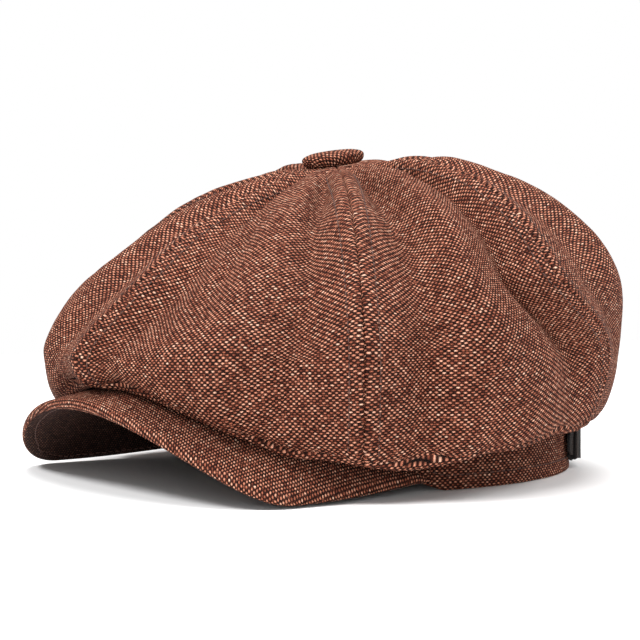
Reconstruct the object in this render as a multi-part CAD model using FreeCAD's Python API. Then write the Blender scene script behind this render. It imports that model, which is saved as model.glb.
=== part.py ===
"""Newsboy cap: six-gore crown and lining, headband, sweatband, arched visor, covered button, back strap.

Frame: millimetres, +Z up, visor toward -Y, wearer's left +X, origin at the centre of the head
opening on the plane the cap stands on. Angles run from the front (0) toward the wearer's left.
"""
import FreeCAD, Part
import os
from math import sin, cos, pi, radians, degrees, atan2, sqrt, exp

os.makedirs("parts", exist_ok=True)
V = FreeCAD.Vector

# ---- head opening and headband
HEAD_HALF_WIDTH, HEAD_HALF_LENGTH = 84.0, 100.0      # inside of the sweatband, 580 mm round
SWEAT_T, BAND_T, FABRIC_GAP = 1.0, 2.2, 0.3
BAND_OUT = SWEAT_T + FABRIC_GAP + BAND_T              # headband face beyond the head opening
BAND_TOP_BACK, BAND_TOP_RISE = 43.0, 13.0             # top edge: back height, extra at the front
RIM_RISE, RIM_END = 38.0, 82.0                        # front rise of the rim, angle where it lands
BAND_JOIN = 78.0                                      # front and rear band pieces meet here

# ---- crown
CROWN_Y = -9.0                                        # crown and button sit forward of the opening
CROWN_HALF_WIDTH, CROWN_HALF_LENGTH = 125.0, 127.3    # widest contour
CROWN_TOP = 134.0
CLOTH_T = 1.6
GORES, SEAM_GAP = 6, 0.04                             # half gap between gores, degrees
FOLD_IN, FOLD_R = 9.0, 2.2                            # overhang fold: set-in from widest, bend radius
STRAP_ROOM, SIDE_IN = 1.0, 4.5                        # overhang: a little fuller behind, tucked in at the rear quarters
SWELL = 7.0                                           # the rear of the dome stands above the button
HANG = [(0, 36), (20, 29), (50, 17), (70, 12), (90, 18), (110, 22), (135, 22), (150, 25.5), (180, 25.5)]   # fold height by angle
LINING_T, LINING_GAP = 0.7, 1.2
DOME_POWER, DOME_POWER_SWING = 1.95, 0.45             # roundness of the meridian: mean, rear fuller
WIDEST_Z, WIDEST_Z_SWING = 62.5, 9.0                  # height of the widest contour: mean, lower in front
EYE_R = 3.6                                           # opening of the gores at the button shank

# ---- visor
VISOR_HALF_WIDTH, VISOR_BULGE, VISOR_LOW_Y = 96.8, 43.0, -97.0
VISOR_ARCH, VISOR_TIP = 32.6, (90.6, -27.0, 4.5)
VISOR_SPLIT, VISOR_ROOT_END = 0.62, 75.0
COVER_T, BOARD_T, PLY_GAP = 1.0, 2.0, 0.3
VISOR_T = 2 * COVER_T + BOARD_T + 2 * PLY_GAP

# ---- button
BUTTON_R, BUTTON_H, BUTTON_SKIN = 13.8, 7.0, 0.9

# ---- back strap, curved about an upright axis
STRAP_AXIS_Y, STRAP_IN, STRAP_T, STRAP_H, STRAP_Z = 25.5, 80.05, 1.2, 13.5, 13.8
BAR_T, RUN_GAP = 1.3, 0.35
STRAP_ROOT, STRAP_TIP = -44.0, 58.0                   # hidden end in the pocket, free end
BUCKLE_AT, BUCKLE_W, BUCKLE_H = 33.0, 17.2, 19.5      # angle, width in degrees, height


def out(node, shape):
    if shape.Volume < 0:
        shape.reverse()
    if not shape.isValid():
        shape.fix(1e-4, 1e-4, 1e-3)
    print(node, shape.ShapeType, len(shape.Solids), round(shape.Volume, 1), shape.isValid())
    shape.exportStep("parts/%s.step" % node)


def smoothed(t):
    t = min(1.0, max(0.0, t))
    return t * t * (3 - 2 * t)


def front_factor(a):
    c, e = cos(radians(a)), cos(radians(RIM_END))
    return ((c - e) / (1 - e)) ** 1.15 if c > e else 0.0


def rim_z(a):
    return RIM_RISE * front_factor(a)


def band_top(a):
    return BAND_TOP_BACK + BAND_TOP_RISE * front_factor(a)


def ring_point(a, grow, z):
    """Point on the head ellipse grown outward, at parametric angle a."""
    t = radians(a)
    return V((HEAD_HALF_WIDTH + grow) * sin(t), -(HEAD_HALF_LENGTH + grow) * cos(t), z)


def strip(sections, closed_ends=True):
    """Solid swept through matching closed polygons; every corner path is one smooth curve."""
    n = len(sections[0])
    paths = []
    for j in range(n):
        curve = Part.BSplineCurve()
        curve.interpolate([s[j] for s in sections])
        paths.append(curve.toShape())
    faces = [Part.makeRuledSurface(paths[j], paths[(j + 1) % n], 1) for j in range(n)]
    for s in (sections[0], sections[-1]):
        faces.append(Part.Face(Part.makePolygon(s + [s[0]])))
    return sewn(faces)


def sewn(faces):
    shell = Part.Shell(faces)
    shell.sewShape()
    shell = shell if shell.ShapeType == "Shell" else shell.Shells[0]
    return Part.Solid(shell)


# ------------------------------------------------------------------ visor plan and heights
def visor_lines(s):
    """Root and outer-edge points of the visor underside at station s in -1..1."""
    q = abs(s)
    side = 1 if s >= 0 else -1
    if q <= VISOR_SPLIT:
        t = q / VISOR_SPLIT * pi / 2
        x, y, z = VISOR_HALF_WIDTH * sin(t), VISOR_LOW_Y - VISOR_BULGE * cos(t), VISOR_ARCH * cos(t) ** 2
    else:
        w = (q - VISOR_SPLIT) / (1 - VISOR_SPLIT)
        x = VISOR_HALF_WIDTH + (VISOR_TIP[0] - VISOR_HALF_WIDTH) * w * w
        y = VISOR_LOW_Y + (VISOR_TIP[1] - VISOR_LOW_Y) * w
        z = VISOR_TIP[2] * w * w
    a = VISOR_ROOT_END * q
    root = ring_point(a, BAND_OUT + FABRIC_GAP, rim_z(a))
    return V(side * root.x, root.y, root.z), V(side * x, y, z)


def visor_top(x, y):
    """Height of the visor's upper face over a plan point between root and edge."""
    lo, hi = 0.0, 1.0
    for _ in range(30):
        s = (lo + hi) / 2
        r, o = visor_lines(s)
        if (o.x - r.x) * (y - r.y) - (o.y - r.y) * (abs(x) - r.x) > 0:
            lo = s
        else:
            hi = s
    r, o = visor_lines((lo + hi) / 2)
    span = (o - r)
    w = ((abs(x) - r.x) * span.x + (y - r.y) * span.y) / (span.x ** 2 + span.y ** 2)
    return r.z + (o.z - r.z) * w + VISOR_T if -0.1 <= w <= 1.1 and hi < 0.999 else -99.0


def visor_ply(z0, z1, inset):
    sections = []
    for i in range(-20, 21):
        r, o = visor_lines(i / 20.0)
        d = V(o.x - r.x, o.y - r.y, 0)
        o2 = o - (o - r) * (inset / d.Length)
        sections.append([r + V(0, 0, z0), o2 + V(0, 0, z0), o2 + V(0, 0, z1), r + V(0, 0, z1)])
    return strip(sections)


def visor_cap():
    sections = []
    low, mid, top = COVER_T + 0.1, VISOR_T - COVER_T, VISOR_T
    for i in range(-20, 21):
        r, o = visor_lines(i / 20.0)
        d = V(o.x - r.x, o.y - r.y, 0)
        lip = o - (o - r) * (COVER_T / d.Length)
        sections.append([r + V(0, 0, mid), lip + V(0, 0, mid), lip + V(0, 0, low),
                         o + V(0, 0, low), o + V(0, 0, top), r + V(0, 0, top)])
    return strip(sections)


# ------------------------------------------------------------------ crown meridians
def crown_radius(a):
    t = radians(a)
    return 1 / sqrt((sin(t) / CROWN_HALF_WIDTH) ** 2 + (cos(t) / CROWN_HALF_LENGTH) ** 2)


def band_radius(a, grow):
    """Distance from the crown axis to the head ellipse grown outward, at polar angle a, and its
    parametric angle on that ellipse."""
    t = radians(a)
    w, l = HEAD_HALF_WIDTH + grow, HEAD_HALF_LENGTH + grow
    sx, sy = sin(t) / w, -cos(t) / l
    qa, qb, qc = sx * sx + sy * sy, CROWN_Y / l * sy, (CROWN_Y / l) ** 2 - 1
    r = (-qb + sqrt(qb * qb - qa * qc)) / qa
    return r, degrees(atan2(r * sin(t) / w, -(CROWN_Y - r * cos(t)) / l))


def hang_z(a):
    a = abs((a + 180) % 360 - 180)
    for (a0, z0), (a1, z1) in zip(HANG, HANG[1:]):
        if a <= a1:
            w = (a - a0) / float(a1 - a0)
            w = w * w * (3 - 2 * w)
            return z0 + (z1 - z0) * w
    return HANG[-1][1]


def even(pts, count):
    """Resample a dense polyline to evenly spaced points."""
    run = [0.0]
    for (r0, z0), (r1, z1) in zip(pts, pts[1:]):
        run.append(run[-1] + sqrt((r1 - r0) ** 2 + (z1 - z0) ** 2))
    res, k = [], 0
    for i in range(count):
        d = run[-1] * i / float(count - 1)
        while k < len(run) - 2 and run[k + 1] < d:
            k += 1
        w = (d - run[k]) / (run[k + 1] - run[k])
        res.append(tuple(u + (q - u) * w for u, q in zip(pts[k], pts[k + 1])))
    return res


def dome(a, drop):
    """Dense upper curve of a meridian, eye to widest point, pushed inward by drop."""
    c = cos(radians(a))
    n = DOME_POWER - DOME_POWER_SWING * c
    rw, zw, zt = crown_radius(a) - drop, WIDEST_Z - WIDEST_Z_SWING * c, CROWN_TOP - drop
    f0 = (EYE_R / rw) ** (n / 2)
    pts = []
    for i in range(121):
        p = f0 + (pi / 2 - f0) * i / 120.0
        r = rw * sin(p) ** (2 / n)
        lift = SWELL * ((1 - c) / 2) ** 1.3 * smoothed((r / rw - 0.11) / 0.31) * (1 - smoothed((r / rw - 0.6) / 0.4))
        pts.append((r, zw + (zt - zw) * max(0.0, cos(p)) ** (2 / n) + lift))
    return pts, rw, zw


def fold_radius(a):
    b = abs((a + 180) % 360 - 180)
    return (crown_radius(a) - FOLD_IN + STRAP_ROOM * exp(-((180 - b) / 34.0) ** 2)
            - SIDE_IN * exp(-((b - 137) / 20.0) ** 2))


def crown_line(a):
    """Centre line of the crown cloth: eye, dome, overhang fold, turn-in onto the band top."""
    top, rw, zw = dome(a, CLOTH_T / 2)
    rf = fold_radius(a)
    t = radians(a)
    zl = hang_z(a)
    for dr in (-4.4, -2.2, 0.0):
        x, y = (rf + dr) * sin(t), CROWN_Y - (rf + dr) * cos(t)
        zl = max(zl, visor_top(x, y) + 1.6)
    zc = zl + CLOTH_T / 2 + FOLD_R
    wall = [(rf + (rw - rf) * cos(k * pi / 80), zw - (zw - zc) * sin(k * pi / 80)) for k in range(41)]
    pts = even(top, 24) + even(wall, 8)[1:]
    pts += [(rf - FOLD_R + FOLD_R * cos(p), zc - FOLD_R * sin(p)) for p in (pi / 4, pi / 2, 3 * pi / 4, pi)]
    rb, pa = band_radius(a, BAND_OUT)
    zt = band_top(pa) + CLOTH_T / 2 + 0.15
    r_in = rf - 2 * FOLD_R
    bend = min(4.0, (zt - zc) * 0.6, (r_in - rb) * 0.9)
    pts += [(r_in, zc + (zt - bend - zc) * 0.5), (r_in, zt - bend), (r_in - bend * 0.3, zt - bend * 0.3),
            (r_in - bend, zt), (0.5 * (r_in - bend + rb - 1.6), zt), (rb - 1.6, zt)]
    return pts


def lining_line(a):
    """Centre line of the lining: eye, dome inside the crown, turn-in above the band top."""
    top, rw, zw = dome(a, CLOTH_T + LINING_GAP + LINING_T / 2)
    rb, pa = band_radius(a, BAND_OUT)
    zt = band_top(pa) + CLOTH_T + 0.65 + LINING_T / 2
    keep = [p for p in top if p[1] > max(zw, zt + 9.0)]
    rs, zs = keep[-1]
    for k in range(1, 21):
        w = k / 20.0
        keep.append((rs - 9.0 * w * w, zs * (1 - w) ** 2 + 2 * w * (1 - w) * zt + w * w * zt))
    keep.append((rb - 1.0, zt))
    return even(keep, 30)


def offset_line(pts, d):
    res = []
    for i, (r, z) in enumerate(pts):
        r0, z0 = pts[max(i - 1, 0)]
        r1, z1 = pts[min(i + 1, len(pts) - 1)]
        m = sqrt((r1 - r0) ** 2 + (z1 - z0) ** 2)
        if i == 0:
            res.append((r, z + d))
        else:
            res.append((r - (z1 - z0) / m * d, z + (r1 - r0) / m * d))
    return res


def place(pts, a):
    t = radians(a)
    return [V(r * sin(t), CROWN_Y - r * cos(t), z) for r, z in pts]


def gore(line, thick, a0, a1, steps=12):
    sections = []
    for i in range(steps + 1):
        a = a0 + (a1 - a0) * i / float(steps)
        pts = line(a)
        sections.append(place(offset_line(pts, thick / 2), a) + place(offset_line(pts, -thick / 2), a)[::-1])
    return strip(sections)


# ------------------------------------------------------------------ small solids
def arc_block(r0, r1, a0, a1, z0, z1):
    """Block curved about the strap axis; angles from +Y toward +X."""
    pts = [V(r * sin(radians(a)), STRAP_AXIS_Y + r * cos(radians(a)), z0)
           for r in (r0, r1) for a in (a0, (a0 + a1) / 2.0, a1)]
    edges = [Part.Arc(*pts[:3]).toShape(), Part.makeLine(pts[2], pts[5]),
             Part.Arc(pts[5], pts[4], pts[3]).toShape(), Part.makeLine(pts[3], pts[0])]
    return Part.Face(Part.Wire(edges)).extrude(V(0, 0, z1 - z0))


def turned(profile, z_axis=0.0):
    wire = Part.makePolygon([V(r, 0, z) for r, z in profile + profile[:1]])
    solid = Part.Face(wire).revolve(V(0, 0, 0), V(0, 0, 1), 360)
    solid.translate(V(0, CROWN_Y, z_axis))
    return solid


# ------------------------------------------------------------------ write the nodes
NAMES = ["front_left", "left", "rear_left", "rear_right", "right", "front_right"]
STEP_A = 360.0 / GORES
for i, name in enumerate(NAMES):
    span = i * STEP_A + SEAM_GAP, (i + 1) * STEP_A - SEAM_GAP
    out("crown_panel_" + name, gore(crown_line, CLOTH_T, *span))
    out("lining_panel_" + name, gore(lining_line, LINING_T, *span))


def band_strip(a0, a1, g0, g1, z_lo, z_hi, steps, level=0.0):
    sections = []
    for i in range(steps + 1):
        a = a0 + (a1 - a0) * i / float(steps)
        lo, hi = rim_z(a) + z_lo - level * smoothed((abs(a) - 78.0) / 6.0), band_top(a) + z_hi
        sections.append([ring_point(a, g0, lo), ring_point(a, g1, lo), ring_point(a, g1, hi), ring_point(a, g0, hi)])
    return strip(sections)


def rear_band(end):
    """Rear half of the headband, its lower edge cut flat where the cap stands on it."""
    below = Part.makeBox(400, 400, 50, V(-200, -200, -50))
    return band_strip(BAND_JOIN, end, G0, BAND_OUT, 0, 0, 20, 0.8).cut(below).Solids[0]


G0 = SWEAT_T + FABRIC_GAP
out("headband_front", band_strip(-BAND_JOIN, BAND_JOIN, G0, BAND_OUT, 0, 0, 32))
out("headband_rear_left", rear_band(180))
out("headband_rear_right", rear_band(180).mirror(V(0, 0, 0), V(1, 0, 0)))
sweat = [band_strip(a, a + 119.8, 0.0, SWEAT_T, 0.6, -0.6, 24) for a in (-179.7, -59.9, 59.9)]
out("sweatband", sweat[0].fuse(sweat[1:]))

out("visor_bottom_cover", visor_ply(0.0, COVER_T, 0.0))
out("visor_board", visor_ply(COVER_T + PLY_GAP, COVER_T + PLY_GAP + BOARD_T, COVER_T + 0.4))
out("visor_top_cover", visor_cap())

base = CROWN_TOP + CLOTH_T / 2 + 0.4
DOME = [(BUTTON_R * sin(k * pi / 16), BUTTON_H * 0.62 + BUTTON_H * 0.38 * cos(k * pi / 16)) for k in range(9)]
hull = [(0.0, 0.9)] + [(BUTTON_R - 2.5, 0.9), (BUTTON_R - BUTTON_SKIN - 0.3, 2.6)]
hull += [(r * (BUTTON_R - BUTTON_SKIN - 0.3) / BUTTON_R, z - BUTTON_SKIN - 0.3) for r, z in reversed(DOME)]
cover_in = [(r * (BUTTON_R - BUTTON_SKIN) / BUTTON_R, z - BUTTON_SKIN) for r, z in DOME]
cover = DOME + [(BUTTON_R, 2.4), (BUTTON_R - 2.4, 0.0), (BUTTON_R - 5.0, 0.0), (BUTTON_R - 5.0, 0.6),
                (BUTTON_R - 2.7, 0.6), (BUTTON_R - BUTTON_SKIN, 2.5)] + list(reversed(cover_in))
out("button_cover", turned(cover, base))
out("button_shell", turned(hull, base))
shank_end = CROWN_TOP - 9.0
out("button_shank", turned([(0, shank_end), (1.4, shank_end), (1.4, base + 0.6), (0, base + 0.6)]))
out("button_stay", turned([(1.8, CROWN_TOP - 6.6), (12.0, CROWN_TOP - 7.6), (12.0, CROWN_TOP - 8.4), (1.8, CROWN_TOP - 7.4)]))

z0, z1 = STRAP_Z - STRAP_H / 2, STRAP_Z + STRAP_H / 2
in0, in1 = STRAP_IN - RUN_GAP - BAR_T, STRAP_IN - RUN_GAP
out0, out1 = STRAP_IN + STRAP_T + RUN_GAP, STRAP_IN + STRAP_T + RUN_GAP + BAR_T
out("strap", arc_block(STRAP_IN, STRAP_IN + STRAP_T, STRAP_ROOT, STRAP_TIP, z0, z1))

b0, b1 = BUCKLE_AT - BUCKLE_W / 2, BUCKLE_AT + BUCKLE_W / 2
bz0, bz1 = STRAP_Z - BUCKLE_H / 2, STRAP_Z + BUCKLE_H / 2
buckle = arc_block(in0, out1, b0, b1, bz0, z0 - 0.5).fuse(arc_block(in0, out1, b0, b1, z1 + 0.5, bz1))
for lo, hi, r0, r1 in ((b0, b0 + 2.4, out0, out1), (b1 - 2.4, b1, out0, out1),
                       (BUCKLE_AT - 1.4, BUCKLE_AT + 1.4, in0, in1), (b1 - 1.2, b1 + 7.5, in0, in1)):
    buckle = buckle.fuse(arc_block(r0, r1, lo, hi, bz0, bz1))
out("slider_buckle", buckle.removeSplitter())


def sleeve(a0, a1, closed):
    body = arc_block(in0, out1, a0, a1, z0 - 1.9, z1 + 1.9)
    return body.cut(arc_block(STRAP_IN - RUN_GAP, out0, a0 + (1.0 if closed else -1), a1 + 1, z0 - 0.5, z1 + 0.5))


out("strap_pocket", sleeve(-52.0, -31.5, True))
out("strap_keeper", sleeve(50.0, 53.5, False))

out("label", Part.makeBox(26, 0.5, 14, V(-13, HEAD_HALF_LENGTH - 2.2, 22)))
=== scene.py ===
"""Newsboy cap in woven cloth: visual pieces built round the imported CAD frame. Lengths in mm inside, metres out."""
import math

import bmesh
import bpy
import numpy as np
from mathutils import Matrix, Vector, noise


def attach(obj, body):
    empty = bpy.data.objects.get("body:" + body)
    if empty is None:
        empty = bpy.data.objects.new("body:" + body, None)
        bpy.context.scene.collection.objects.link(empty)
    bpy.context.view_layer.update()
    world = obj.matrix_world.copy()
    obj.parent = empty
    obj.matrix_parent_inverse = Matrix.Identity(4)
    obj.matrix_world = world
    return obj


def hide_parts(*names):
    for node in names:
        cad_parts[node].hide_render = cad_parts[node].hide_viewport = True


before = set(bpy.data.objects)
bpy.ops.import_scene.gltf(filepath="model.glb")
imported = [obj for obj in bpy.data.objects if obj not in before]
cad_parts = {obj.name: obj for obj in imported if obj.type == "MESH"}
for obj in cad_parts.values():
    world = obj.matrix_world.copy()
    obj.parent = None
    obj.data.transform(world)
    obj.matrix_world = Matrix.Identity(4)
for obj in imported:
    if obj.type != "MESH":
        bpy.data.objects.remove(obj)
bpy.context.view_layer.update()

MM = 0.001
PI = math.pi
cos, sin, rad = np.cos, np.sin, np.radians

# ---------------------------------------------------------------- sizes shared with the CAD
HEAD_A, HEAD_B = 84.0, 100.0
SWEAT_T, BAND_T, CLOTH_GAP = 1.0, 2.2, 0.3
BAND_OUT = SWEAT_T + CLOTH_GAP + BAND_T
BAND_TOP_BACK, BAND_TOP_RISE = 43.0, 13.0
RIM_RISE, RIM_END, BAND_JOIN = 38.0, 82.0, 78.0
CROWN_Y, CROWN_A, CROWN_B, CROWN_TOP = -9.0, 125.0, 127.3, 134.0
DOME_POWER, DOME_SWING, WIDEST_Z, WIDEST_SWING = 1.95, 0.45, 62.5, 9.0
CLOTH_T, FOLD_IN, FOLD_R, STRAP_ROOM, SIDE_IN, SWELL = 1.6, 9.0, 2.2, 1.0, 4.5, 7.0
HANG = [(0, 36), (20, 29), (50, 17), (70, 12), (90, 18), (110, 22), (135, 22), (150, 25.5), (180, 25.5)]
EYE_R = 3.6
VISOR_A, VISOR_BULGE, VISOR_LOW_Y, VISOR_ARCH = 96.8, 43.0, -97.0, 32.6
VISOR_TIP, VISOR_SPLIT, VISOR_ROOT_END, VISOR_T = (90.6, -27.0, 4.5), 0.62, 75.0, 4.6
STRAP_Y, STRAP_IN, STRAP_T, STRAP_H, STRAP_Z = 25.5, 80.05, 1.2, 13.5, 13.8
SIDES = ["front_left", "left", "rear_left", "rear_right", "right", "front_right"]

# ---------------------------------------------------------------- sizes of the visual pieces only
SEAM_BOW, FRONT_BOW, BOW_FROM, BOW_TO = 19.0, 9.0, 50, 92     # lean in degrees, and the heights it grows over
TOPSTITCH_OFF = 5.6                                           # from a crown seam to the stitch line beside it
VISOR_STITCH_IN = 6.2                                         # from the visor edge to its stitch line
BAND_STITCH_UP = 6.0                                          # from the headband rim to its stitch line
GORE, SEAM_GAP = 60, 0.03                                     # degrees of a gore, and left open each side
LINING_DROP, LINING_T, LINING_ROWS, LINING_COLS = 14.0, 0.6, 90, 61
GRAIN_TILT = (2.0, -3.0, 1.5, -2.0, 3.0, -1.5)                # degrees the grain is turned by, gore by gore
VISOR_BIAS = rad(38.0)                                        # the visor cloth is cut on the bias
BUTTON_R, BUTTON_H, BUTTON_TILT = 13.6, 6.6, rad(9.0)
STRAP_ENDS, POCKET_ENDS, KEEPER_ENDS = (-44, 58), (-52.0, -31.5), (50.0, 53.5)   # degrees about the strap axis
SLEEVE_OUT, SLEEVE_IN = (78.45, 82.85), (79.7, 81.6)          # radii of a webbing sleeve, outside and bore


def smooth(lo, hi, x):
    t = np.clip((x - lo) / (hi - lo), 0, 1)
    return t * t * (3 - 2 * t)


def bell(x, at, width):
    return np.exp(-((x - at) / width) ** 2)


# ---------------------------------------------------------------- mesh building
def make_object(name, verts, faces, material, weave=None, body="cap", slot=None):
    mesh = bpy.data.meshes.new(name)
    mesh.from_pydata([tuple(v) for v in np.asarray(verts) * MM], [], faces)
    mesh.validate()
    mesh.update()
    mesh.shade_smooth()
    if weave is not None:
        att = mesh.attributes.new("weave", "FLOAT_VECTOR", "POINT")
        full = np.zeros((len(verts), 3))
        full[:, :2] = np.asarray(weave).reshape(-1, 2)
        att.data.foreach_set("vector", full.ravel())
    obj = bpy.data.objects.new(name, mesh)
    bpy.context.scene.collection.objects.link(obj)
    mesh.materials.append(material)
    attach(obj, body)
    return obj


def sweep(name, loops, material, weave=None, closed=False, **kw):
    """Closed mesh from matching thin loops [station, k, xyz]; loop point i faces point k-1-i."""
    n, k = loops.shape[:2]
    faces = []
    for i in range(n if closed else n - 1):
        a, b = i * k, (i + 1) % n * k
        for j in range(k):
            q = (j + 1) % k
            faces.append((a + j, b + j, b + q, a + q))
    if not closed:
        for base, flip in ((0, False), ((n - 1) * k, True)):
            for j in range(k // 2 - 1):
                f = (base + j, base + j + 1, base + k - 2 - j, base + k - 1 - j)
                faces.append(f[::-1] if flip else f)
    obj = make_object(name, loops.reshape(-1, 3), faces, material, weave, **kw)
    fix_normals(obj)
    return obj


def fix_normals(obj):
    """Turn a closed mesh the right way out."""
    bm = bmesh.new()
    bm.from_mesh(obj.data)
    if bm.calc_volume(signed=True) < 0:
        bmesh.ops.reverse_faces(bm, faces=bm.faces)
    bm.to_mesh(obj.data)
    bm.free()


def turned(xy, angle):
    x, y = xy[..., 0], xy[..., 1]
    return np.stack([x * cos(angle) - y * sin(angle), x * sin(angle) + y * cos(angle)], -1)


def even(pts, count):
    """count points evenly spaced along a flat polyline."""
    pts = np.asarray(pts, float)
    run = np.r_[0, np.cumsum(np.hypot(*np.diff(pts, axis=0).T))]
    at = np.linspace(0, run[-1], count)
    return np.c_[np.interp(at, run, pts[:, 0]), np.interp(at, run, pts[:, 1])]


# ---------------------------------------------------------------- shared shapes
def front_factor(a):
    c, e = math.cos(math.radians(a)), math.cos(math.radians(RIM_END))
    return ((c - e) / (1 - e)) ** 1.15 if c > e else 0.0


def rim_z(a):
    return RIM_RISE * front_factor(a)


def band_top(a):
    return BAND_TOP_BACK + BAND_TOP_RISE * front_factor(a)


def ring_point(a, grow, z):
    t = math.radians(a)
    return np.array([(HEAD_A + grow) * math.sin(t), -(HEAD_B + grow) * math.cos(t), z])


def visor_lines(s):
    q, side = abs(s), 1 if s >= 0 else -1
    if q <= VISOR_SPLIT:
        t = q / VISOR_SPLIT * PI / 2
        x, y, z = VISOR_A * math.sin(t), VISOR_LOW_Y - VISOR_BULGE * math.cos(t), VISOR_ARCH * math.cos(t) ** 2
    else:
        w = (q - VISOR_SPLIT) / (1 - VISOR_SPLIT)
        x = VISOR_A + (VISOR_TIP[0] - VISOR_A) * w * w
        y = VISOR_LOW_Y + (VISOR_TIP[1] - VISOR_LOW_Y) * w
        z = VISOR_TIP[2] * w * w
    a = VISOR_ROOT_END * q
    root = ring_point(a, BAND_OUT + CLOTH_GAP, rim_z(a))
    root[0] *= side
    return root, np.array([side * x, y, z])


def visor_top(x, y):
    lo, hi = 0.0, 1.0
    for _ in range(26):
        s = (lo + hi) / 2
        r, o = visor_lines(s)
        if (o[0] - r[0]) * (y - r[1]) - (o[1] - r[1]) * (abs(x) - r[0]) > 0:
            lo = s
        else:
            hi = s
    r, o = visor_lines((lo + hi) / 2)
    dx, dy = o[0] - r[0], o[1] - r[1]
    w = ((abs(x) - r[0]) * dx + (y - r[1]) * dy) / (dx * dx + dy * dy)
    return r[2] + (o[2] - r[2]) * w + VISOR_T if -0.1 <= w <= 1.1 and hi < 0.999 else -99.0


def crown_radius(a):
    t = math.radians(a)
    return 1 / math.sqrt((math.sin(t) / CROWN_A) ** 2 + (math.cos(t) / CROWN_B) ** 2)


def band_radius(a, grow):
    t = math.radians(a)
    w, l = HEAD_A + grow, HEAD_B + grow
    sx, sy = math.sin(t) / w, -math.cos(t) / l
    qa, qb, qc = sx * sx + sy * sy, CROWN_Y / l * sy, (CROWN_Y / l) ** 2 - 1
    r = (-qb + math.sqrt(qb * qb - qa * qc)) / qa
    return r, math.degrees(math.atan2(r * math.sin(t) / w, -(CROWN_Y - r * math.cos(t)) / l))


def wrap(a):
    return abs((a + 180) % 360 - 180)


def hang_z(a):
    a = wrap(a)
    for (a0, z0), (a1, z1) in zip(HANG, HANG[1:]):
        if a <= a1:
            w = (a - a0) / (a1 - a0)
            return z0 + (z1 - z0) * w * w * (3 - 2 * w)
    return HANG[-1][1]


def fold_radius(a):
    return (crown_radius(a) - FOLD_IN + STRAP_ROOM * math.exp(-((180 - wrap(a)) / 34.0) ** 2)
            - SIDE_IN * math.exp(-((wrap(a) - 137) / 20.0) ** 2))


def dome(a, drop):
    c = math.cos(math.radians(a))
    n = DOME_POWER - DOME_SWING * c
    rw, zw, zt = crown_radius(a) - drop, WIDEST_Z - WIDEST_SWING * c, CROWN_TOP - drop
    p = np.linspace((EYE_R / rw) ** (n / 2), PI / 2, 240)
    r = rw * sin(p) ** (2 / n)
    lift = SWELL * ((1 - c) / 2) ** 1.3 * smooth(0.11, 0.42, r / rw) * (1 - smooth(0.6, 1.0, r / rw))
    return np.c_[r, zw + (zt - zw) * np.maximum(0, cos(p)) ** (2 / n) + lift], rw, zw


# rows of a crown column: dome, wall below the widest line, fold at the lower edge, leg up to the headband
DOME_N, WALL_N, FOLD_N, LEG_N = 150, 48, 13, 34


def crown_column(a):
    """Centre line of the crown cloth at polar angle a, in fixed row groups."""
    top, rw, zw = dome(a, CLOTH_T / 2)
    rf, t, zl = fold_radius(a), math.radians(a), hang_z(a)
    for dr in (-4.4, -2.2, 0.0):
        zl = max(zl, visor_top((rf + dr) * math.sin(t), CROWN_Y - (rf + dr) * math.cos(t)) + 1.6)
    zc = zl + CLOTH_T / 2 + FOLD_R
    k = np.linspace(0, PI / 2, 60)
    wall = even(np.c_[rf + (rw - rf) * cos(k), zw - (zw - zc) * sin(k)], WALL_N + 1)[1:]
    p = np.linspace(0, PI, FOLD_N + 1)[1:]
    fold = np.c_[rf - FOLD_R + FOLD_R * cos(p), zc - FOLD_R * sin(p)]
    rb, pa = band_radius(a, BAND_OUT)
    zt, r_in = band_top(pa) + CLOTH_T / 2 + 0.15, rf - 2 * FOLD_R
    bend = min(4.0, (zt - zc) * 0.6, (r_in - rb) * 0.9)
    q = np.linspace(0, PI / 2, 20)
    leg = np.r_[[[r_in, zc]], np.c_[r_in - bend + bend * cos(q), zt - bend + bend * sin(q)], [[rb - 1.6, zt]]]
    return np.r_[even(top, DOME_N), wall, fold, even(leg, LEG_N + 1)[1:]]


def crown_grid(angles):
    return np.array([crown_column(a) for a in angles])


def bow(a, z):
    """Lean of the seams on the dome, degrees. The CAD seams are straight; these lean forward at the sides."""
    a = np.asarray(a)[:, None] % 360
    lift = smooth(BOW_FROM, BOW_TO, z)
    front = FRONT_BOW * (bell(a, 0, 26) + bell(a, 360, 26))
    return lift * (SEAM_BOW * (bell(a, 240, 28) - bell(a, 120, 28)) + front)


def to_space(rz, angles):
    t = rad(np.asarray(angles)[:, None] + bow(angles, rz[..., 1]))
    return np.stack([rz[..., 0] * sin(t), CROWN_Y - rz[..., 0] * cos(t), rz[..., 1]], -1)


def grid_normals(P):
    n = np.cross(np.gradient(P, axis=0), np.gradient(P, axis=1))
    return -n / np.maximum(np.linalg.norm(n, axis=-1, keepdims=True), 1e-9)


def cut_size(P):
    """Flat width, length (m) and area (m2) of the pattern for a smooth surface grid [across, along], in mm."""
    across = np.linalg.norm(np.diff(P, axis=0), axis=-1).sum(0).max()
    along = np.linalg.norm(np.diff(P, axis=1), axis=-1).sum(1).max()
    a, b = P[1:, 1:] - P[:-1, :-1], P[1:, :-1] - P[:-1, 1:]
    area = 0.5 * np.linalg.norm(np.cross(a, b), axis=-1).sum()
    return across * MM, along * MM, area * MM * MM


def field(P, size, seed, detail=2):
    """Smooth noise over space, about -1..1, features about size mm."""
    flat = P.reshape(-1, 3) / size + seed * 7.31
    return np.array([noise.fractal(Vector(p), 1.0, 2.0, detail) for p in flat]).reshape(P.shape[:-1])


# ---------------------------------------------------------------- cloth relief of the crown
# twelve valleys, one each side of every seam, counted from the front seam toward the wearer's left
VALLEY = [0.9, 1.35, 1.6, 1.3, 1.1, 0.9, 0.8, 1.0, 1.2, 1.1, 0.9, 1.0]
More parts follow.
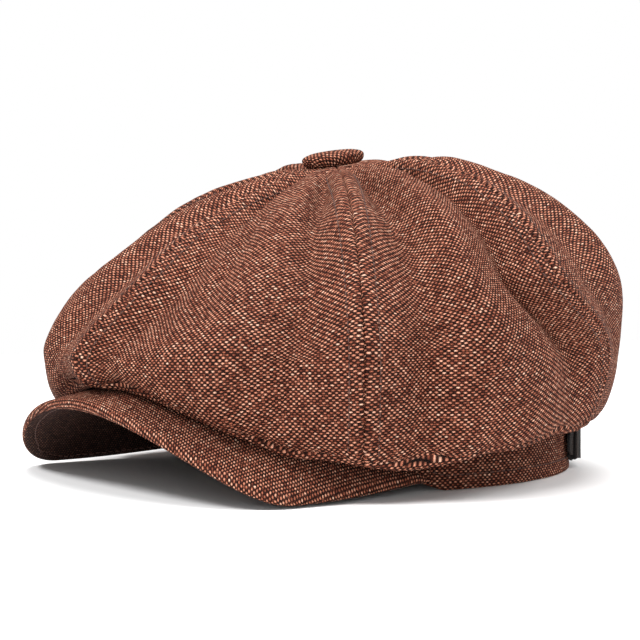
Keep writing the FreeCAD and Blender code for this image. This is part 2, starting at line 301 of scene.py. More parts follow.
# soft folds: angle at top, angle at bottom, start and end along the meridian, depth, width in degrees
FOLDS = [(27, 25, 0.36, 0.80, -3.4, 5.0), (40, 45, 0.20, 0.68, 2.4, 4.2), (53, 45, 0.62, 0.95, -2.4, 4.0),
         (87, 86, 0.32, 0.88, 2.6, 5.0), (102, 110, 0.5, 0.95, -2.4, 4.5), (10, 6, 0.60, 1.0, -2.4, 4.0),
         (36, 30, 0.78, 1.0, 1.6, 4.0), (74, 70, 0.7, 1.0, -1.8, 3.5), (150, 158, 0.3, 0.9, -2.0, 6.0),
         (212, 200, 0.35, 0.95, -1.8, 6.0), (262, 272, 0.3, 0.95, -2.4, 6.0), (325, 332, 0.4, 0.95, -2.2, 5.0)]


def relief(theta, s, r, P):
    """Outward displacement of the crown cloth, mm: seams, valleys beside them, folds, gathers."""
    ang = 30 - np.abs((theta % 60) - 30)
    ds = rad(ang) * r
    index = (np.floor((theta % 360) / 30).astype(int)) % 12
    depth = np.array(VALLEY)[index]
    body = smooth(0.03, 0.28, s) * (1 - 0.62 * smooth(0.78, 1.0, s))
    d = body * (1.3 * bell(ang, 0, 5.0) - 5.2 * depth * bell(ang, 13.0, 6.5) + 0.9 * bell(ang, 30, 9))
    for a0, a1, s0, s1, amp, width in FOLDS:
        line = a0 + (a1 - a0) * np.clip((s - s0) / (s1 - s0), 0, 1)
        off = (theta - line + 180) % 360 - 180
        d += amp * bell(off, 0, width) * smooth(s0 - 0.08, s0 + 0.15, s) * (1 - smooth(s1 - 0.1, s1 + 0.05, s))
    d += 1.1 * smooth(0.05, 0.3, s) * field(P, 48, 1) + 0.42 * smooth(0.02, 0.2, s) * field(P, 17, 2)
    wave = 0.6 * cos(rad(13 * theta + 40)) + 0.5 * cos(rad(22 * theta + 10)) + 0.35 * cos(rad(31 * theta))
    d += 0.9 * wave * smooth(0.72, 0.97, s)
    near = smooth(2.0, 9.0, rad(30) * r)
    pucker = field(P, 7, 3, 1)
    d += near * (0.75 * smooth(0.3, 1.4, ds) * (1 - smooth(5.2, 7.5, ds)) - 1.5 * bell(ds, 0, 0.8)
                 - 0.5 * bell(ds, 5.6, 0.65) + 0.35 * pucker * bell(ds, 4.5, 4.5))
    return d


def crown_surface(angles):
    """Centre surface, normals and meridian coordinates for the angles given, relief included."""
    wide = np.r_[2 * angles[0] - angles[1], angles, 2 * angles[-1] - angles[-2]]
    rz = crown_grid(wide)
    P = to_space(rz, wide)
    N = grid_normals(P)
    run = np.r_[np.zeros((1, rz.shape[0])), np.cumsum(np.linalg.norm(np.diff(P, axis=1), axis=-1).T, 0)].T
    P, N, rz, run = P[1:-1], N[1:-1], rz[1:-1], run[1:-1]
    pattern = cut_size(P)
    upper = DOME_N + WALL_N
    theta = np.repeat(angles[:, None], upper, 1)
    s = run[:, :upper] / run[:, upper - 1:upper]
    D = relief(theta, s, rz[:, :upper, 0], P[:, :upper])
    rear = bell(theta, 180, 45) ** 0.5 * smooth(0.75, 0.9, s)
    D = D * (1 - rear) + np.maximum(D, 0.0) * rear
    P[:, :upper] += N[:, :upper] * D[..., None]
    out = np.stack([sin(rad(angles)), -cos(rad(angles)), 0 * angles], -1)
    for j in range(upper, P.shape[1]):
        z = rz[:, j, 1]
        k = np.array([np.interp(-z[i], -rz[i, DOME_N:upper, 1], D[i, DOME_N:upper]) for i in range(len(angles))])
        fade = 1 - smooth(0.25, 0.8, (j - upper - FOLD_N) / LEG_N)
        P[:, j] += out * (k * fade)[:, None]
    return P, grid_normals(P), rz, run, pattern


def panel_angles(k):
    """Angles across gore k, closer together toward its seams."""
    t = np.linspace(-1, 1, 97)
    t = np.sign(t) * (1 - (1 - np.abs(t)) ** 1.25)
    return GORE * k + GORE / 2 + t * (GORE / 2 - SEAM_GAP)


# ---------------------------------------------------------------- materials
class Graph:
    """A material's node tree, with one short method for each kind of node used here."""

    def __init__(self, name):
        self.mat = bpy.data.materials.new(name)
        self.mat.use_nodes = True
        self.t = self.mat.node_tree
        self.t.nodes.clear()
        self.out = self.t.nodes.new("ShaderNodeOutputMaterial")

    def put(self, socket, v):
        if isinstance(v, bpy.types.NodeSocket):
            self.t.links.new(v, socket)
        else:
            socket.default_value = v

    def m(self, op, a, b=None, clamp=False):
        n = self.t.nodes.new("ShaderNodeMath")
        n.operation, n.use_clamp = op, clamp
        for i, v in enumerate((a, b)):
            if v is not None:
                self.put(n.inputs[i], v)
        return n.outputs[0]

    def vec(self, op, a, b=None, scale=None):
        n = self.t.nodes.new("ShaderNodeVectorMath")
        n.operation = op
        self.put(n.inputs[0], a)
        if b is not None:
            self.put(n.inputs[1], b)
        if scale is not None:
            self.put(n.inputs["Scale"], scale)
        return n.outputs["Vector"]

    def ramp(self, fac, stops):
        n = self.t.nodes.new("ShaderNodeValToRGB")
        el = n.color_ramp.elements
        while len(el) < len(stops):
            el.new(0.5)
        for e, (p, c) in zip(el, stops):
            e.position, e.color = p, (*c, 1)
        self.put(n.inputs[0], fac)
        return n.outputs[0]

    def mix(self, fac, a, b):
        n = self.t.nodes.new("ShaderNodeMix")
        n.data_type = "RGBA"
        self.put(n.inputs["Factor"], fac)
        self.put(n.inputs[6], a)
        self.put(n.inputs[7], b)
        return n.outputs[2]

    def xyz(self, x, y, z=0.0):
        n = self.t.nodes.new("ShaderNodeCombineXYZ")
        for i, v in enumerate((x, y, z)):
            self.put(n.inputs[i], v)
        return n.outputs[0]

    def split(self, v):
        n = self.t.nodes.new("ShaderNodeSeparateXYZ")
        self.put(n.inputs[0], v)
        return n.outputs

    def noise(self, vector, scale, detail=2.0):
        n = self.t.nodes.new("ShaderNodeTexNoise")
        self.put(n.inputs["Vector"], vector)
        n.inputs["Scale"].default_value = scale
        n.inputs["Detail"].default_value = detail
        n.inputs["Roughness"].default_value = 0.5
        return n.outputs

    def finish(self, height=None, strength=0.6, distance=0.0004, **sockets):
        b = self.t.nodes.new("ShaderNodeBsdfPrincipled")
        for k, v in sockets.items():
            self.put(b.inputs[k.replace("_", " ")], v)
        if height is not None:
            n = self.t.nodes.new("ShaderNodeBump")
            n.inputs["Strength"].default_value = strength
            n.inputs["Distance"].default_value = distance
            self.put(n.inputs["Height"], height)
            self.put(b.inputs["Normal"], n.outputs[0])
        self.t.links.new(b.outputs[0], self.out.inputs[0])
        return self.mat


def woven(name, pitch, warp, weft, fray=1.0, gap_shade_level=0.22, stretch=1.0, thin=0.0, rough=0.9, sheen=0.12,
          sheen_tint=(0.8, 0.6, 0.5, 1), bump=0.8):
    """Plain weave from the stored cloth coordinates (mm): threads, slubs, per-thread colour, and painted shade that
    darkens the colour where the threads sink between each other.
    """
    g = Graph(name)
    source = g.t.nodes.new("ShaderNodeAttribute")
    source.attribute_name = "weave"
    at = source.outputs["Vector"]
    for scale, amount in ((0.07, 1.1 * fray), (0.55, 0.42 * fray)):
        wob = g.vec("SUBTRACT", g.noise(at, scale, 2.0)["Color"], (0.5, 0.5, 0.5))
        at = g.vec("ADD", at, g.vec("SCALE", wob, scale=amount))
    x, y, _ = g.split(at)
    u, v = g.m("DIVIDE", x, pitch * stretch), g.m("DIVIDE", y, pitch / stretch)
    i, j = g.m("FLOOR", u), g.m("FLOOR", v)
    fu, fv = g.m("SUBTRACT", g.m("SUBTRACT", u, i), 0.5), g.m("SUBTRACT", g.m("SUBTRACT", v, j), 0.5)
    over = g.m("SUBTRACT", 1.0, g.m("MULTIPLY", g.m("FRACT", g.m("MULTIPLY", g.m("ADD", i, j), 0.5)), 4.0))
    heights, tints = [], []
    for own, along, cross, sign, f_own, f_along, stops in (
            (i, v, u, 1.0, fu, fv, warp), (j, u, v, -1.0, fv, fu, weft)):
        slub = g.noise(g.xyz(g.m("MULTIPLY", own, 3.7), g.m("MULTIPLY", along, 0.16), 3.0 * sign), 1.0, 1.0)[0]
        width = g.m("ADD", 0.72 - thin, g.m("MULTIPLY", slub, 0.62))
        e = g.m("DIVIDE", g.m("MULTIPLY", f_own, 2.0), width)
        round_ = g.m("SQRT", g.m("SUBTRACT", 1.0, g.m("MULTIPLY", e, e), clamp=True))
        wave = g.m("MULTIPLY", g.m("MULTIPLY", over, 0.44 * sign), g.m("COSINE", g.m("MULTIPLY", f_along, PI)))
        heights.append(g.m("MULTIPLY", round_, g.m("ADD", 0.5, wave)))
        tone = g.noise(g.xyz(g.m("MULTIPLY", own, 5.3), g.m("MULTIPLY", along, 0.33), 9.0 * sign), 1.0, 2.0)[0]
        tints.append(g.ramp(tone, stops))
    top = g.m("MAXIMUM", heights[0], heights[1])
    pick = g.m("GREATER_THAN", heights[1], heights[0])
    colour = g.mix(pick, tints[0], tints[1])
    fibre = g.noise(at, 5.5, 2.0)[0]
    # painted shade: colour scaled by thread height, darkest (down to the gap level) in the gaps between threads,
    # times a random fibre tone
    lit = g.m("MULTIPLY", g.m("POWER", g.m("MULTIPLY", top, 1.08), 1.9), 1.0 - gap_shade_level)
    gap_shade_and_fibre_tone = g.m("MULTIPLY", g.m("ADD", gap_shade_level, lit), g.m("ADD", 0.72, g.m("MULTIPLY", fibre, 0.56)))
    colour = g.vec("MULTIPLY", colour, g.xyz(gap_shade_and_fibre_tone, gap_shade_and_fibre_tone, gap_shade_and_fibre_tone))
    patch = g.m("ADD", 0.86, g.m("MULTIPLY", g.noise(at, 0.035, 3.0)[0], 0.28))
    colour = g.vec("MULTIPLY", colour, g.xyz(patch, patch, patch))
    h = g.m("ADD", top, g.m("MULTIPLY", fibre, 0.18))
    return g.finish(h, bump, 0.00045, Base_Color=colour, Roughness=rough, Sheen_Weight=sheen,
                    Sheen_Tint=sheen_tint, Sheen_Roughness=0.5, Specular_IOR_Level=0.12)


CLOTH = woven("woven_cloth", 1.1,
              [(0.28, (0.014, 0.003, 0.002)), (0.48, (0.034, 0.008, 0.005)), (0.60, (0.08, 0.020, 0.012)),
               (0.76, (0.30, 0.092, 0.052))],
              [(0.28, (0.14, 0.033, 0.018)), (0.44, (0.41, 0.126, 0.071)), (0.58, (0.78, 0.33, 0.207)),
               (0.74, (1.0, 0.62, 0.45))], gap_shade_level=0.008, stretch=1.12, thin=0.14, sheen=0.0, bump=1.0)
# painted shade: a darker copy of woven_cloth for the visor's under cloth, so the underside reads as lying in shadow
UNDER_SHADED_CLOTH = woven("visor_under_cloth_painted_shade", 1.1,
              [(0.28, (0.008, 0.002, 0.0015)), (0.48, (0.014, 0.004, 0.003)), (0.60, (0.03, 0.009, 0.006)),
               (0.76, (0.07, 0.024, 0.016))],
              [(0.28, (0.03, 0.009, 0.006)), (0.44, (0.085, 0.030, 0.019)), (0.58, (0.16, 0.068, 0.044)),
               (0.74, (0.24, 0.12, 0.085))], gap_shade_level=0.01, stretch=1.12, thin=0.14, sheen=0.0, bump=1.0)
LINING = woven("lining_satin", 0.22, [(0.3, (0.10, 0.055, 0.036)), (0.7, (0.13, 0.072, 0.048))],
               [(0.3, (0.12, 0.065, 0.043)), (0.7, (0.15, 0.085, 0.056))], 0.4, 0.6, 0.38, 0.0, bump=0.15)
TAPE = woven("sweatband_tape", 0.30, [(0.3, (0.012, 0.010, 0.009)), (0.7, (0.03, 0.024, 0.02))],
             [(0.3, (0.018, 0.014, 0.012)), (0.7, (0.035, 0.028, 0.023))], 0.4, 0.4, 0.85, 0.1)
WEB = woven("strap_webbing", 0.62, [(0.3, (0.012, 0.012, 0.013)), (0.7, (0.022, 0.022, 0.024))],
            [(0.3, (0.016, 0.016, 0.017)), (0.7, (0.03, 0.03, 0.032))], 0.15, 0.35, 0.6, 0.05, bump=0.9)
LABEL = woven("label_tape", 0.26, [(0.3, (0.42, 0.36, 0.27)), (0.7, (0.55, 0.48, 0.38))],
              [(0.3, (0.48, 0.42, 0.33)), (0.7, (0.60, 0.54, 0.44))], 0.3, 0.5, 0.7, 0.05)


def plain(name, colour, rough, scale=900.0, amount=0.25, bump=0.1, **more):
    g = Graph(name)
    co = g.t.nodes.new("ShaderNodeTexCoord").outputs["Object"]
    n = g.noise(co, scale, 3.0)[0]
    f = g.m("ADD", 1 - amount / 2, g.m("MULTIPLY", n, amount))
    return g.finish(n, bump, 0.0002, Base_Color=g.vec("MULTIPLY", g.xyz(*colour), g.xyz(f, f, f)),
                    Roughness=g.m("ADD", rough - 0.06, g.m("MULTIPLY", n, 0.12)), **more)


THREAD = plain("stitch_thread", (0.085, 0.036, 0.026), 0.75, 2500.0, 0.5, 0.4)
BLACK = plain("buckle_plastic", (0.012, 0.012, 0.013), 0.22, 1500.0, 0.3, 0.05)
BOARD = plain("visor_stiffener", (0.7, 0.69, 0.65), 0.55)
METAL = plain("button_metal", (0.6, 0.6, 0.58), 0.35, Metallic=1.0)


# ---------------------------------------------------------------- stitches
def stitches(name, lines, step=3.3, length=2.5, radius=0.30, lift=0.30):
    """One mesh of sunk thread stitches along polylines of (points, normals) in mm."""
    verts, faces = [], []
    for pts, nrm in lines:
        run = np.r_[0, np.cumsum(np.linalg.norm(np.diff(pts, axis=0), axis=1))]
        for c in np.arange(step * 0.6, run[-1] - step * 0.6, step):
            at = c + length * np.linspace(-0.5, 0.5, 6)
            p = np.stack([np.interp(at, run, pts[:, k]) for k in range(3)], -1)
            n = np.stack([np.interp(at, run, nrm[:, k]) for k in range(3)], -1)
            n /= np.linalg.norm(n, axis=1, keepdims=True)
            rise = lift * (1 - (np.linspace(-1, 1, 6)) ** 4) - 0.35 * np.linspace(-1, 1, 6) ** 4
            p = p + n * rise[:, None]
            t = np.gradient(p, axis=0)
            t /= np.linalg.norm(t, axis=1, keepdims=True)
            b = np.cross(t, n)
            base = len(verts)
            for q in range(6):
                rr = radius * (1.0 if 0 < q < 5 else 0.55)
                for w in range(6):
                    x = 2 * PI * w / 6
                    verts.append(p[q] + rr * (math.cos(x) * b[q] + math.sin(x) * n[q]))
            for q in range(5):
                for w in range(6):
                    a, z = base + q * 6 + w, base + q * 6 + (w + 1) % 6
                    faces.append((a, z, z + 6, a + 6))
            faces.append(tuple(base + w for w in range(6))[::-1])
            faces.append(tuple(base + 30 + w for w in range(6)))
    make_object(name, np.array(verts), faces, THREAD, slot="woven_cloth")


# ---------------------------------------------------------------- crown
crown_lines = []
for k, side in enumerate(SIDES):
    ang = panel_angles(k)
    P, N, rz, run, pattern = crown_surface(ang)
    half = CLOTH_T / 2
    outer, inner = P + N * half, P - N * half
    loops = np.concatenate([outer, inner[:, ::-1]], 1)
    u = rad(ang - (60 * k + 30))[:, None] * rz[..., 0]
    wv = turned(np.stack([u, run], -1), rad(GRAIN_TILT[k])) + np.array([31.7 * k, 57.3 * k])
    weave = np.concatenate([wv, wv[:, ::-1]], 1)
    obj = sweep("crown_cloth_" + side, loops, CLOTH, weave, slot="woven_cloth")
    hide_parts("crown_panel_" + side)
    for edge in (0, 1):
        cols = ang - 60 * k if edge == 0 else 60 * (k + 1) - ang
        pts, nrm = [], []
        for j in range(22, DOME_N + WALL_N - 3):
            off = rad(cols) * rz[:, j, 0]
            order = np.argsort(off)
            pts.append([np.interp(TOPSTITCH_OFF, off[order], outer[order, j, c]) for c in range(3)])
            nrm.append([np.interp(TOPSTITCH_OFF, off[order], N[order, j, c]) for c in range(3)])
        crown_lines.append((np.array(pts), np.array(nrm)))
stitches("crown_topstitch", crown_lines)

# ---------------------------------------------------------------- lining
def lining_column(a):
    top, _, zw = dome(a, LINING_DROP)
    rb, pa = band_radius(a, BAND_OUT)
    zt = band_top(pa) + CLOTH_T + 1.3
    keep = top[top[:, 1] > max(zw, zt + 9.0)]
    rs, zs = keep[-1]
    w = np.linspace(0, 1, 21)[1:, None]
    turn = np.c_[rs - 9 * w * w, zs * (1 - w) ** 2 + 2 * w * (1 - w) * zt + w * w * zt]
    return even(np.r_[keep, turn, [[rb - 1.0, zt]]], LINING_ROWS)


for k, side in enumerate(SIDES):
    ang = np.linspace(GORE * k + SEAM_GAP, GORE * (k + 1) - SEAM_GAP, LINING_COLS)
    rz = np.array([lining_column(a) for a in ang])
    P = to_space(rz, ang)
    pattern = cut_size(P)
    N = grid_normals(P)
    dist = 30 - np.abs((ang % 60) - 30)
    s = np.linspace(0, 1, LINING_ROWS)[None]
    D = -0.8 * bell(dist, 0, 1.2)[:, None] + smooth(0.1, 0.4, s) * (
        0.9 * field(P, 30, 5) - 1.2 * bell(dist, 15, 9)[:, None]
        + 0.5 * cos(rad(12 * ang))[:, None] * smooth(0.6, 0.95, s))
    D *= 1 - smooth(0.9, 1.0, s)
    P = P + N * np.minimum(D, 0.8)[..., None]
    N = grid_normals(P)
    half = LINING_T / 2
    loops = np.concatenate([P + N * half, (P - N * half)[:, ::-1]], 1)
    run = np.r_[[np.zeros(LINING_COLS)], np.cumsum(np.linalg.norm(np.diff(P, axis=1), axis=-1).T, 0)].T
    wv = np.stack([rad(ang - 60 * k - 30)[:, None] * rz[..., 0], run], -1)
    obj = sweep("lining_satin_" + side, loops, LINING, np.concatenate([wv, wv[:, ::-1]], 1), slot="lining_cloth")
    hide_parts("lining_panel_" + side)


# ---------------------------------------------------------------- headband and sweatband
def band_loops(angles, g0, g1, lo, hi, rows=26):
    """Thin folded strip: rounded lower fold, outer face, inner face."""
    r = (g1 - g0) / 2
    loops, weave = [], []
    arc = 0.0
    last = None
    for a in angles:
        p0 = ring_point(a, 0, 0)
        arc += 0 if last is None else np.linalg.norm(p0 - last)
        last = p0
        z0, z1 = lo(a), hi(a)
        outer = [(g1, z) for z in np.linspace(z0 + r, z1, rows)]
        bottom = [(g0 + r + r * math.sin(q), z0 + r - r * math.cos(q)) for q in np.linspace(0, PI / 2, 6)][:-1]
        inner_b = [(g0 + r - r * math.sin(q), z0 + r - r * math.cos(q)) for q in np.linspace(0.02, PI / 2, 6)][:-1]
        o = bottom + outer
        i = inner_b + [(g0, z) for z in np.linspace(z0 + r, z1, rows)]
        loops.append([ring_point(a, g, z) for g, z in o] + [ring_point(a, g, z) for g, z in i[::-1]])
        weave.append([(arc, z) for g, z in o] + [(arc, z) for g, z in i[::-1]])
    return np.array(loops), np.array(weave)


def band_piece(name, node, a0, a1, steps):
    """One headband piece; returns its stitch line as (points, outward normals)."""
    ang = np.linspace(a0, a1, steps)
    loops, weave = band_loops(ang, SWEAT_T + CLOTH_GAP, BAND_OUT, rim_z, band_top)
    rows = loops.shape[1] // 2
    lift = loops[:, :rows, 2] - np.array([rim_z(a) for a in ang])[:, None]
    ang2 = np.repeat(ang[:, None], rows, 1)
    d = -0.35 * bell(lift, BAND_STITCH_UP, 0.6) + 0.25 * field(loops[:, :rows], 14, 6) * smooth(0, 4, lift)
    out = np.stack([sin(rad(ang2)), -cos(rad(ang2)), 0 * ang2], -1)
    loops[:, :rows] += out * np.minimum(d, 0.15)[..., None]
    obj = sweep(name, loops, CLOTH, weave + np.array([7.7, 3.1]), slot="woven_cloth")
    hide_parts(node)
    j = np.abs(lift[len(ang) // 2] - BAND_STITCH_UP).argmin()
    return loops[:, j], out[:, j]


band_piece("headband_cloth_front", "headband_front", -BAND_JOIN, BAND_JOIN, 140)
line_l = band_piece("headband_cloth_rear_left", "headband_rear_left", BAND_JOIN, 180, 100)
line_r = band_piece("headband_cloth_rear_right", "headband_rear_right", -BAND_JOIN, -180, 100)
stitches("headband_topstitch", [line_l, line_r])

ang = np.linspace(-179.6, 179.6, 300)
loops, weave = band_loops(ang, 0.05, SWEAT_T, lambda a: rim_z(a) + 0.6, lambda a: band_top(a) - 0.6, 20)
obj = sweep("sweatband_tape", loops, TAPE, weave, slot="sweatband_cloth")
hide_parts("sweatband")

# ---------------------------------------------------------------- visor
def visor_sections(kind, stations=260):
    """Thin loops across the visor from one tip to the other, for its top cloth or its under cloth."""
    loops, weave = [], []
    for s in np.linspace(-1, 1, stations):
        tip = max(0.0, abs(s) - 0.955) / 0.045
        thick_here = VISOR_T * max(0.46, math.sqrt(max(0.0, 1 - tip * tip)))
        R = thick_here / 2
        r, o = visor_lines(s)
        flat = np.array([o[0] - r[0], o[1] - r[1], 0.0])
        reach = np.linalg.norm(flat)
        d = flat / reach
        slope = (o[2] - r[2]) / reach
        end = reach - R
        q0 = np.linspace(0, 1, 34)
        if kind == "top":
            camber = 0.7 * np.sin(PI * q0) * min(1, reach / 30)
            line = [(w * end, thick_here + c) for w, c in zip(q0, camber)]
            line += [(end + R * math.cos(t), R + R * math.sin(t)) for t in np.linspace(PI / 2, -PI / 3.2, 15)[1:]]
            thick = 1.0
        else:
            line = [(end + R * math.cos(t), R + R * math.sin(t)) for t in np.linspace(-PI / 3.0, -PI / 2, 4)[:-1]]
            line += [(end * (1 - w), 0.0) for w in np.linspace(0, 1, 60)]
            line = line[::-1]
            thick = 0.9
        line = np.array(line)
        tan = np.gradient(line, axis=0)
        tan /= np.linalg.norm(tan, axis=1, keepdims=True)
        nor = np.c_[-tan[:, 1], tan[:, 0]] * (1 if kind == "top" else -1)
        if kind == "bottom":
            inset = end + R - line[:, 0]
            line = line - nor * (0.45 * bell(inset, VISOR_STITCH_IN, 0.7))[:, None]
        back = line - nor * thick
        sec = np.r_[line, back[::-1]]
        pts = r * np.array([1, 1, 0]) + sec[:, :1] * d
        pts[:, 2] = sec[:, 1] + r[2] + slope * sec[:, 0]
        loops.append(pts)
        run = np.r_[0, np.cumsum(np.linalg.norm(np.diff(line, axis=0), axis=1))]
        along = np.r_[run, run[::-1]]
        weave.append(turned(r[:2] + d[:2] * along[:, None] * math.hypot(1, slope), VISOR_BIAS))
    return np.array(loops), np.array(weave)


loops, weave = visor_sections("top")
obj = sweep("visor_cloth_top", loops, CLOTH, weave, slot="woven_cloth")
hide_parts("visor_top_cover")
half = cut_size(loops[:, :loops.shape[1] // 2])
loops_b, weave = visor_sections("bottom")
obj = sweep("visor_cloth_under", loops_b, UNDER_SHADED_CLOTH, weave, slot="woven_cloth")
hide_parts("visor_bottom_cover")
half = cut_size(loops_b[:, :loops_b.shape[1] // 2])
m = loops_b.shape[1] // 2
edge = []
for sec in loops_b:
    line = sec[:m]
    run = np.linalg.norm(line - line[-1], axis=1)
    edge.append(line[np.abs(run - VISOR_STITCH_IN + 1.0).argmin()])
edge = np.array(edge)
board = []
for st in np.linspace(-0.945, 0.945, 120):
    r, o = visor_lines(st)
    d = o - r
    d_len = math.hypot(d[0], d[1])
    sec = []
    for w, h in ((0.4, 1.35), (d_len - 2.6, 1.35), (d_len - 2.2, 1.7),
                 (d_len - 2.2, 2.9), (d_len - 2.6, 3.25), (0.4, 3.25)):
        sec.append(r + d * (w / d_len) + np.array([0, 0, h]))
    board.append(sec)
obj = sweep("visor_board_sheet", np.array(board), BOARD, slot="visor_stiffener")
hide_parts("visor_board")
stitches("visor_topstitch", [(edge, np.tile([0, 0, -1.0], (len(edge), 1)))])

# ---------------------------------------------------------------- button
def lathe(name, profile, material, node, slot, steps=96, tilt=BUTTON_TILT):
    """Slightly uneven body of revolution about the button's axis, from a closed (radius, height) profile."""
    profile = np.array(profile)
    loops, wv = [], []
    for k in range(steps):
        t = 2 * PI * k / steps
        wob = 1 + 0.012 * math.sin(9 * t + 1) + 0.008 * math.sin(14 * t)
        x, y, z = profile[:, 0] * wob * math.cos(t), profile[:, 0] * wob * math.sin(t), profile[:, 1]
        pts = np.c_[x, y * cos(tilt) - z * sin(tilt), y * sin(tilt) + z * cos(tilt)]
        loops.append(pts + np.array([0, CROWN_Y, CROWN_TOP + 0.4]))
        run = np.r_[0, np.cumsum(np.linalg.norm(np.diff(profile, axis=0), axis=1))]
        wv.append(np.c_[run * math.cos(t), run * math.sin(t)])
    obj = sweep(name, np.array(loops), material, np.array(wv), closed=True, slot=slot)
    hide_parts(node)
    return obj


R, H = BUTTON_R, BUTTON_H
q = np.linspace(0.02, PI / 2, 26)
topc = np.c_[R * sin(q) ** 0.62, H * 0.55 + H * 0.45 * cos(q) ** 0.9]
q = np.linspace(0, PI / 2, 14)[1:]
low = np.c_[R - 3.2 + 3.2 * cos(q), H * 0.55 - H * 0.52 * sin(q)]
prof = np.r_[topc, low, [[7.0, 0.15]]]
nrm = np.gradient(prof, axis=0)
nrm /= np.linalg.norm(nrm, axis=1, keepdims=True)
inn = prof + np.c_[nrm[:, 1], -nrm[:, 0]] * 0.8
inn[:, 0] = np.maximum(inn[:, 0], 0.05)
obj = lathe("button_cloth", np.r_[prof, inn[::-1]], CLOTH, "button_cover", "woven_cloth")
shell = np.c_[np.maximum(prof[:, 0] - 1.05, 0.05), np.clip(prof[:, 1] - 0.95, 0.9, None)]
shell_in = np.c_[np.maximum(shell[:, 0] - 0.6, 0.04), shell[:, 1] - 0.5]
lathe("button_dome", np.r_[shell, shell_in[::-1]], METAL, "button_shell", "button_metal")

# ---------------------------------------------------------------- back strap, pocket, keeper, label
def rounded(r0, r1, z0, z1, fillet, per=5):
    """Rounded rectangle in (r, z), counter-clockwise, same point count for any size."""
    pts = []
    for cr, cz, q0 in ((r1 - fillet, z1 - fillet, 0), (r0 + fillet, z1 - fillet, 90),
                       (r0 + fillet, z0 + fillet, 180), (r1 - fillet, z0 + fillet, 270)):
        for q in np.linspace(q0, q0 + 90, per):
            pts.append((cr + fillet * math.cos(math.radians(q)), cz + fillet * math.sin(math.radians(q))))
    return np.array(pts)


def arc_ring(section, angle):
    """A section in (r, z) put at an angle about the strap's axis."""
    t = math.radians(angle)
    return np.c_[section[:, 0] * math.sin(t), STRAP_Y + section[:, 0] * math.cos(t), section[:, 1]]


def bridge(a, b, k, flip=False):
    f = [(a + j, a + (j + 1) % k, b + (j + 1) % k, b + j) for j in range(k)]
    return [q[::-1] for q in f] if flip else f


def webbing_solid(name, node, angles, section, body):
    loops = [arc_ring(section(a), a) for a in angles]
    k = len(loops[0])
    faces = [tuple(range(k)), tuple(range((len(loops) - 1) * k, len(loops) * k))[::-1]]
    for i in range(len(loops) - 1):
        faces += bridge(i * k, (i + 1) * k, k, True)
    weave = np.array([[(math.radians(a) * 80, p[1] + 0.6 * p[0]) for p in section(a)] for a in angles])
    obj = make_object(name, np.concatenate(loops), faces, WEB, weave, body=body, slot="webbing")
    fix_normals(obj)
    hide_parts(node)
    return obj


def webbing_sleeve(name, node, a0, a1, closed):
    """Folded webbing tube round the strap, its end at a0 sewn shut if closed."""
    z0, z1 = STRAP_Z - STRAP_H / 2, STRAP_Z + STRAP_H / 2
    outer_at = np.linspace(a0, a1, 26)
    inner_at = np.linspace(a0 + (1.2 if closed else 0.0), a1, 26)
    outer = [arc_ring(rounded(*SLEEVE_OUT, z0 - 1.85, z1 + 1.85, 1.1), a) for a in outer_at]
    inner = [arc_ring(rounded(*SLEEVE_IN, z0 - 0.5, z1 + 0.5, 0.4), a) for a in inner_at]
    k, n = len(outer[0]), len(outer)
    faces = []
    for i in range(n - 1):
        faces += bridge(i * k, (i + 1) * k, k, True)
        faces += bridge((n + i) * k, (n + i + 1) * k, k)
    faces += bridge((n - 1) * k, (2 * n - 1) * k, k, True)
    if closed:
        faces += [tuple(range(k)), tuple(range(n * k, n * k + k))[::-1]]
    else:
        faces += bridge(0, n * k, k)
    around = np.linspace(0, 44, k)
    weave = np.array([[(w, math.radians(a) * 81) for w in around] for a in list(outer_at) + list(inner_at)])
    obj = make_object(name, np.concatenate(outer + inner), faces, WEB, weave, slot="webbing")
    fix_normals(obj)
    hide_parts(node)
    return obj


def strap_section(a):
    taper = 2.2 * smooth(54.0, 58.0, a)
    return rounded(STRAP_IN + 0.02, STRAP_IN + STRAP_T - 0.02, STRAP_Z - STRAP_H / 2 + taper,
                   STRAP_Z + STRAP_H / 2 - taper, 0.5)


obj = webbing_solid("strap_webbing", "strap", np.linspace(*STRAP_ENDS, 120), strap_section, "strap")
obj = webbing_sleeve("strap_pocket_webbing", "strap_pocket", *POCKET_ENDS, True)
obj = webbing_sleeve("strap_keeper_webbing", "strap_keeper", *KEEPER_ENDS, False)

loops, weave = [], []
for x in np.linspace(-12.9, 12.9, 60):
    y = HEAD_B * math.sqrt(1 - (x / HEAD_A) ** 2) - 1.15 + 0.12 * math.sin(0.5 * x)
    edge = 0.1 * (abs(x) > 11.5)
    zs = np.linspace(22.1, 35.9, 30)
    hem = np.where((zs < 23.4) | (zs > 34.6), 0.1, 0.0) + edge
    front = [(x, y - 0.22 - h, z) for z, h in zip(zs, hem)]
    back = [(x, y + 0.22, z) for z in zs[::-1]]
    loops.append(front + back)
    weave.append([(x, z) for z in zs] + [(x, z) for z in zs[::-1]])
obj = sweep("label_cloth", np.array(loops), LABEL, np.array(weave), slot="label_cloth")
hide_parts("label")

stay = np.array([(1.9, -6.95), (5.0, -7.05), (9.0, -7.3), (11.9, -7.85), (12.0, -8.1),
                 (11.9, -8.35), (9.0, -7.95), (5.0, -7.6), (1.9, -7.45), (1.8, -7.2)])
stay[:, 1] -= 0.4
obj = lathe("button_stay_cloth", stay, LINING, "button_stay", "lining_cloth", tilt=0.0)

# ---------------------------------------------------------------- carried CAD nodes
SLOT_MATERIAL = {"button_shank": METAL, "slider_buckle": BLACK}
for node, material in SLOT_MATERIAL.items():
    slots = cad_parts[node].data.materials
    slots.clear()
    slots.append(material)

# ---------------------------------------------------------------- floor, light, camera
bpy.ops.mesh.primitive_plane_add(size=1.7, location=(0, 0, -0.0002))
floor = bpy.context.object
floor.name = "floor"
g = Graph("floor_white")
floor.data.materials.append(g.finish(Base_Color=(0.98, 0.98, 0.982, 1), Roughness=0.8))

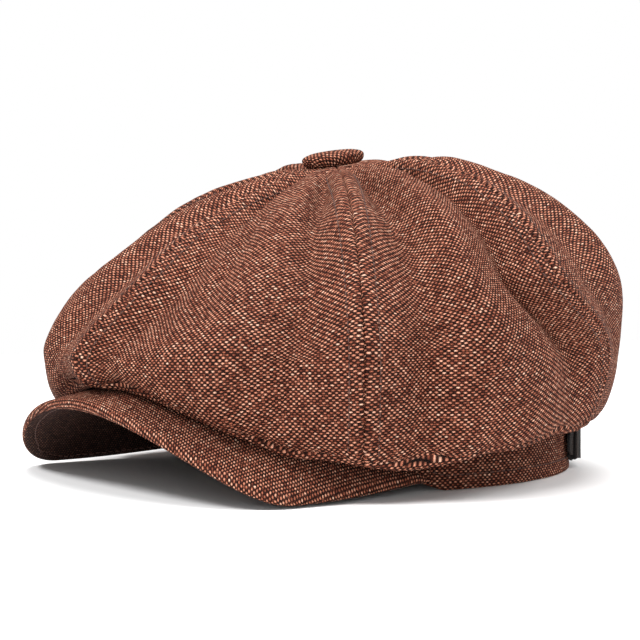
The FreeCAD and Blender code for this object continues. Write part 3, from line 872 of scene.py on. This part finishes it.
world = bpy.data.worlds.new("studio")
bpy.context.scene.world = world
world.use_nodes = True
wt = world.node_tree
wt.nodes.clear()
path, mixer = wt.nodes.new("ShaderNodeLightPath"), wt.nodes.new("ShaderNodeMixShader")
soft, clear = wt.nodes.new("ShaderNodeBackground"), wt.nodes.new("ShaderNodeBackground")
soft.inputs[0].default_value, soft.inputs[1].default_value = (1.0, 0.99, 0.98, 1), 0.22
clear.inputs[0].default_value, clear.inputs[1].default_value = (1, 1, 1, 1), 1.0
wt.links.new(path.outputs["Is Camera Ray"], mixer.inputs[0])
wt.links.new(soft.outputs[0], mixer.inputs[1])
wt.links.new(clear.outputs[0], mixer.inputs[2])
wt.links.new(mixer.outputs[0], wt.nodes.new("ShaderNodeOutputWorld").inputs[0])


def area_light(name, place, aim, size, power, colour=(1, 1, 1)):
    data = bpy.data.lights.new(name, "AREA")
    data.shape, data.size, data.energy, data.color = "DISK", size, power, colour
    o = bpy.data.objects.new(name, data)
    bpy.context.scene.collection.objects.link(o)
    o.location = place
    o.rotation_euler = (Vector(aim) - Vector(place)).to_track_quat("-Z", "Y").to_euler()


AZ, EL, DIST, LENS = math.radians(55.0), math.radians(2.5), 0.926, 117.9
right = np.array([math.cos(AZ), math.sin(AZ), 0.0])
toward = np.array([math.sin(AZ), -math.cos(AZ), 0.0])
area_light("key", tuple(toward * 0.35 - right * 0.80 + np.array([0, 0, 1.05])), (0, 0, 0.06), 0.4, 13.0)
area_light("rim", tuple(toward * -0.1 + right * 1.0 + np.array([0, 0, 0.8])), (0, 0, 0.08), 0.5, 8.0)
area_light("front", tuple(toward * 1.3 + np.array([0, 0, 0.22])), (0, 0, 0.02), 0.9, 9.0)
area_light("overhead", (0, 0.1, 1.5), (0, 0, 0), 1.5, 31.0)

cam_data = bpy.data.cameras.new("camera")
cam = bpy.data.objects.new("camera", cam_data)
bpy.context.scene.collection.objects.link(cam)
bpy.context.scene.camera = cam
cam_data.sensor_width, cam_data.lens = 36.0, LENS
cam_data.clip_start = 0.05
target = right * -0.0062 + np.array([0, -0.009, 0.0664])
back = toward * math.cos(EL) + np.array([0, 0, math.sin(EL)])
cam.location = tuple(target + back * DIST)
cam.rotation_euler = Vector(tuple(-back)).to_track_quat("-Z", "Y").to_euler()
bpy.context.scene.view_settings.view_transform = "Standard"
